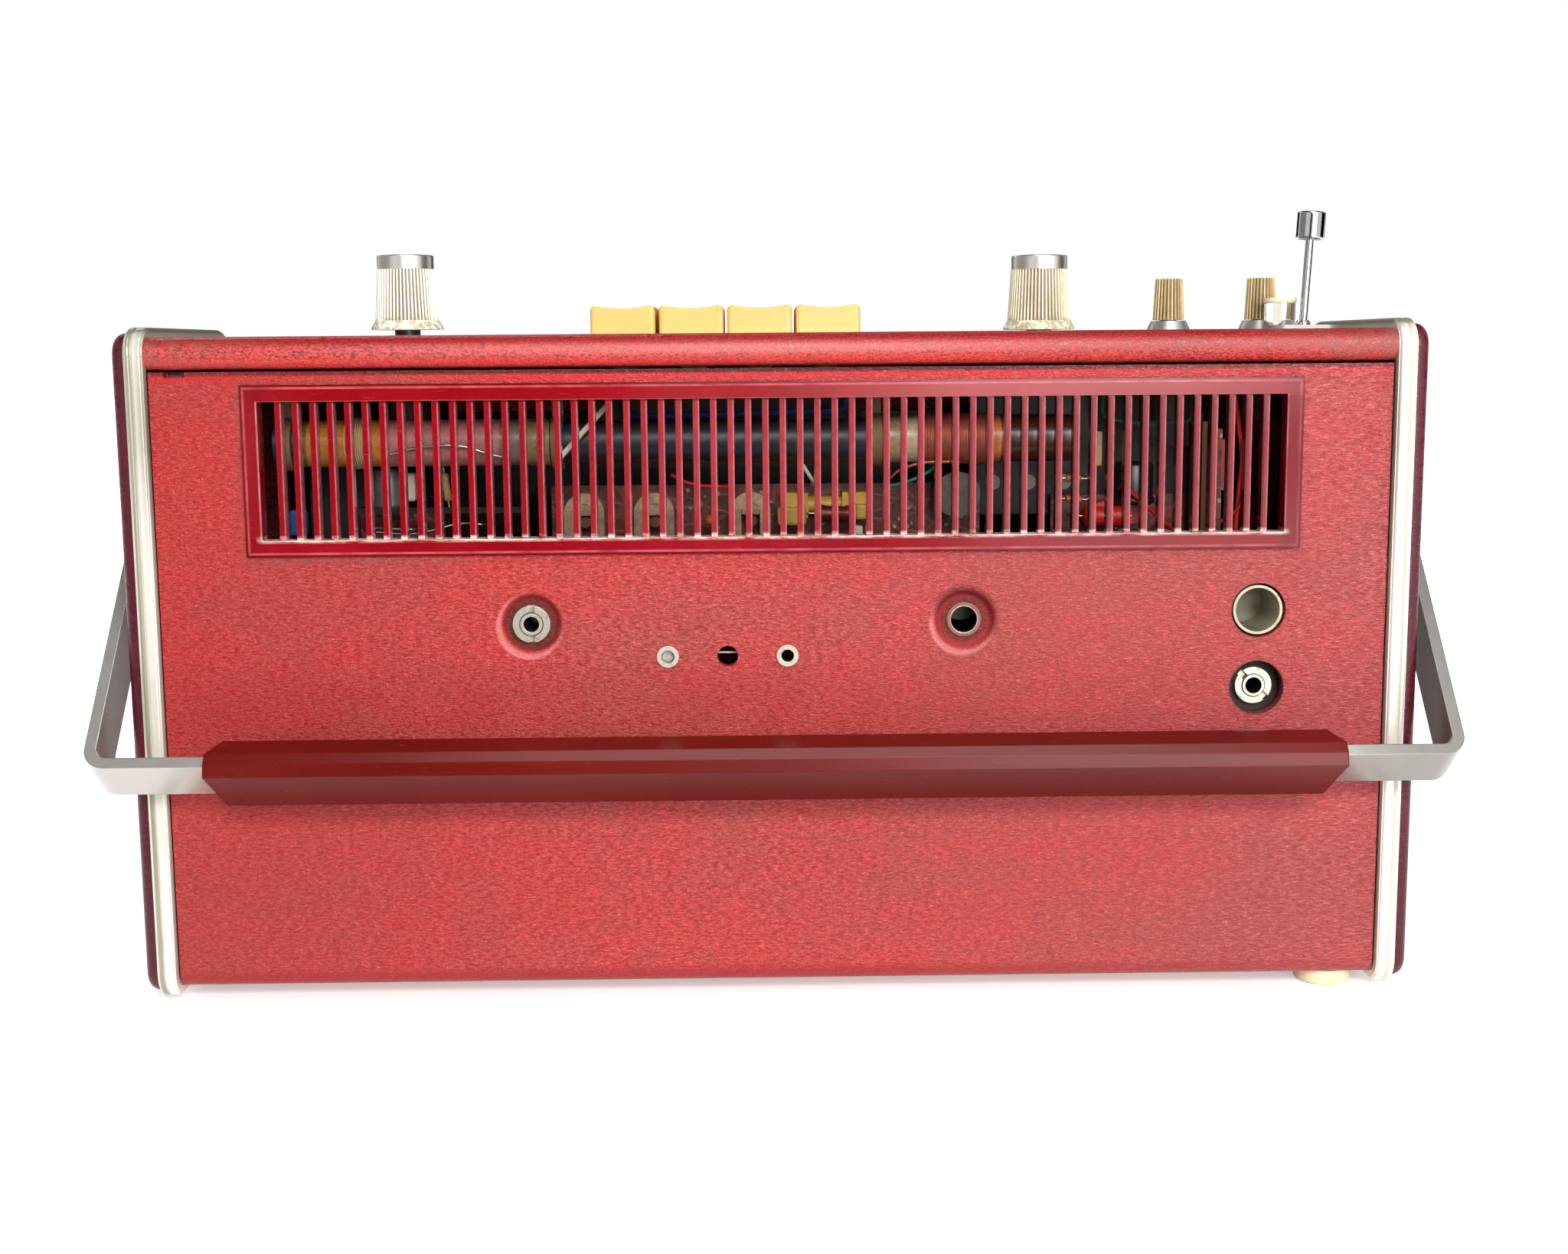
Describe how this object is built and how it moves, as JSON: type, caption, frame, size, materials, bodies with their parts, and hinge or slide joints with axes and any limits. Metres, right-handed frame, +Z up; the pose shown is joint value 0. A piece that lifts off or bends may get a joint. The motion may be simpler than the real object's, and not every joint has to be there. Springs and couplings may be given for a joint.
{
  "type": "portable radio",
  "caption": "Portable transistor radio in a red covered case with a louvred back, piano keys, ribbed knobs, telescopic antenna, sockets and a swinging handle.",
  "frame": {"origin": "on the floor under the middle of the radio's bounding box", "axes": "+X towards the radio's right end seen from the back, +Y from the back cover to the dial, +Z up"},
  "size_m": [0.3056, 0.1002, 0.1793],
  "materials": {
    "cabinet_shell": "board covered in grained red leathercloth",
    "left_cheek": "dark red leathercloth",
    "right_cheek": "dark red leathercloth",
    "left_trim": "champagne, ribbed",
    "right_trim": "champagne, ribbed",
    "back_cover": "hardboard covered in grained red leathercloth",
    "back_grille": "deep crimson",
    "front_panel": "pale",
    "dial_scale": "dark, printed",
    "dial_window": "clear",
    "speaker_grille": "satin",
    "control_plate": "brushed",
    "feet": "ivory",
    "speaker_cloth": "black cloth",
    "speaker_frame": "grey",
    "speaker_cone": "black paper",
    "chassis": "plated",
    "circuit_board": "brown paper board",
    "trimmer_coils": "tan",
    "small_capacitors": "orange",
    "can_capacitors": "dull",
    "ferrite_rod": "dark grey",
    "left_coil_former": "waxed paper",
    "right_coil_former": "waxed paper",
    "left_winding": "silk covered wire",
    "right_winding": "covered copper wire",
    "rod_holders": "tan",
    "tuning_capacitor": "satin",
    "potentiometers": "passivated",
    "key_switch": "black",
    "battery_tray": "dark",
    "batteries": "zinc cells in card sleeves",
    "left_jack": "nickel plated",
    "right_jack": "nickel plated",
    "aerial_socket": "nickel plated",
    "cover_eyelets": "plated",
    "antenna_plate": "polished",
    "clear_post": "clear",
    "antenna_tube": "polished",
    "hookup_wires": "coloured insulation",
    "shaft_bushings": "darkened",
    "tone_collars": "polished",
    "handle_pivots": "satin",
    "pointer_rail": "drawn",
    "handle_bail": "satin",
    "handle_grip": "dark red",
    "volume_knob": "ivory, ribbed",
    "volume_cap": "spun",
    "tuning_knob": "ivory, ribbed",
    "tuning_cap": "spun",
    "tuning_drum": "ivory",
    "dial_pointer": "orange red",
    "left_tone_knob": "dark ivory",
    "right_tone_knob": "dark ivory",
    "key_1": "ivory",
    "key_2": "ivory",
    "key_3": "ivory",
    "key_4": "ivory",
    "antenna_middle": "polished",
    "antenna_tip": "polished"
  },
  "bodies": {
    "cabinet": {"cabinet_shell": "cabinet_shell", "left_cheek": "left_cheek", "right_cheek": "right_cheek", "left_trim": "left_trim", "right_trim": "right_trim", "back_cover": "back_cover", "back_grille": "back_grille", "front_panel": "front_panel", "dial_scale": "dial_scale", "dial_window": "dial_window", "speaker_grille": "speaker_grille", "control_plate": "control_plate", "feet": "feet", "speaker_cloth": "speaker_cloth", "speaker_frame": "speaker_frame", "speaker_cone": "speaker_cone", "chassis": "chassis", "circuit_board": "circuit_board", "trimmer_coils": "trimmer_coils", "small_capacitors": "small_capacitors", "can_capacitors": "can_capacitors", "ferrite_rod": "ferrite_rod", "left_coil_former": "left_coil_former", "right_coil_former": "right_coil_former", "left_winding": "left_winding", "right_winding": "right_winding", "rod_holders": "rod_holders", "tuning_capacitor": "tuning_capacitor", "potentiometers": "potentiometers", "key_switch": "key_switch", "battery_tray": "battery_tray", "batteries": "batteries", "left_jack": "left_jack", "right_jack": "right_jack", "aerial_socket": "aerial_socket", "cover_eyelets": "cover_eyelets", "antenna_plate": "antenna_plate", "clear_post": "clear_post", "antenna_tube": "antenna_tube", "hookup_wires": "hookup_wires", "shaft_bushings": "shaft_bushings", "tone_collars": "tone_collars", "handle_pivots": "handle_pivots", "pointer_rail": "pointer_rail"},
    "handle": {"handle_bail": "handle_bail", "handle_grip": "handle_grip"},
    "volume": {"volume_knob": "volume_knob", "volume_cap": "volume_cap"},
    "tuning": {"tuning_knob": "tuning_knob", "tuning_cap": "tuning_cap", "tuning_drum": "tuning_drum"},
    "pointer": {"dial_pointer": "dial_pointer"},
    "left_tone": {"left_tone_knob": "left_tone_knob"},
    "right_tone": {"right_tone_knob": "right_tone_knob"},
    "key_one": {"key_1": "key_1"},
    "key_two": {"key_2": "key_2"},
    "key_three": {"key_3": "key_3"},
    "key_four": {"key_4": "key_4"},
    "antenna_sleeve": {"antenna_middle": "antenna_middle"},
    "antenna_rod": {"antenna_tip": "antenna_tip"}
  },
  "joints": [
    {"name": "handle_swing", "type": "hinge", "parent": "cabinet", "child": "handle", "pos_m": [0, 0.00891, 0.1148], "axis": [-1, 0, 0], "range_deg": [-3, 272]},
    {"name": "volume_turn", "type": "hinge", "parent": "cabinet", "child": "volume", "pos_m": [-0.0867, 0.00591, 0.1523], "axis": [0, 0, -1], "range_deg": [0, 280]},
    {"name": "tuning_turn", "type": "hinge", "parent": "cabinet", "child": "tuning", "pos_m": [0.0638, 0.00591, 0.1523], "axis": [0, 0, -1], "range_deg": [-270, 270]},
    {"name": "pointer_slide", "type": "slide", "parent": "cabinet", "child": "pointer", "axis": [1, 0, 0], "range_m": [-0.0943, 0.0943]},
    {"name": "left_tone_turn", "type": "hinge", "parent": "cabinet", "child": "left_tone", "pos_m": [0.0949, 0.00591, 0.1523], "axis": [0, 0, -1], "range_deg": [0, 270]},
    {"name": "right_tone_turn", "type": "hinge", "parent": "cabinet", "child": "right_tone", "pos_m": [0.1169, 0.00591, 0.1523], "axis": [0, 0, -1], "range_deg": [0, 270]},
    {"name": "key_one_press", "type": "slide", "parent": "cabinet", "child": "key_one", "axis": [0, 0, -1], "range_m": [0, 0.0045], "stiffness_N_per_m": 250},
    {"name": "key_two_press", "type": "slide", "parent": "cabinet", "child": "key_two", "axis": [0, 0, -1], "range_m": [0, 0.0045], "stiffness_N_per_m": 250},
    {"name": "key_three_press", "type": "slide", "parent": "cabinet", "child": "key_three", "axis": [0, 0, -1], "range_m": [0, 0.0045], "stiffness_N_per_m": 250},
    {"name": "key_four_press", "type": "slide", "parent": "cabinet", "child": "key_four", "axis": [0, 0, -1], "range_m": [0, 0.0045], "stiffness_N_per_m": 250},
    {"name": "antenna_pull", "type": "slide", "parent": "cabinet", "child": "antenna_sleeve", "axis": [0.0523, 0, 0.9986], "range_m": [0, 0.085]},
    {"name": "antenna_rod_pull", "type": "slide", "parent": "antenna_sleeve", "child": "antenna_rod", "axis": [0.0523, 0, 0.9986], "range_m": [-0.0125, 0.06]}
  ],
  "couplings": [
    {"joint": "pointer_slide", "follows": "tuning_turn", "m_per_rad": 0.02}
  ]
}
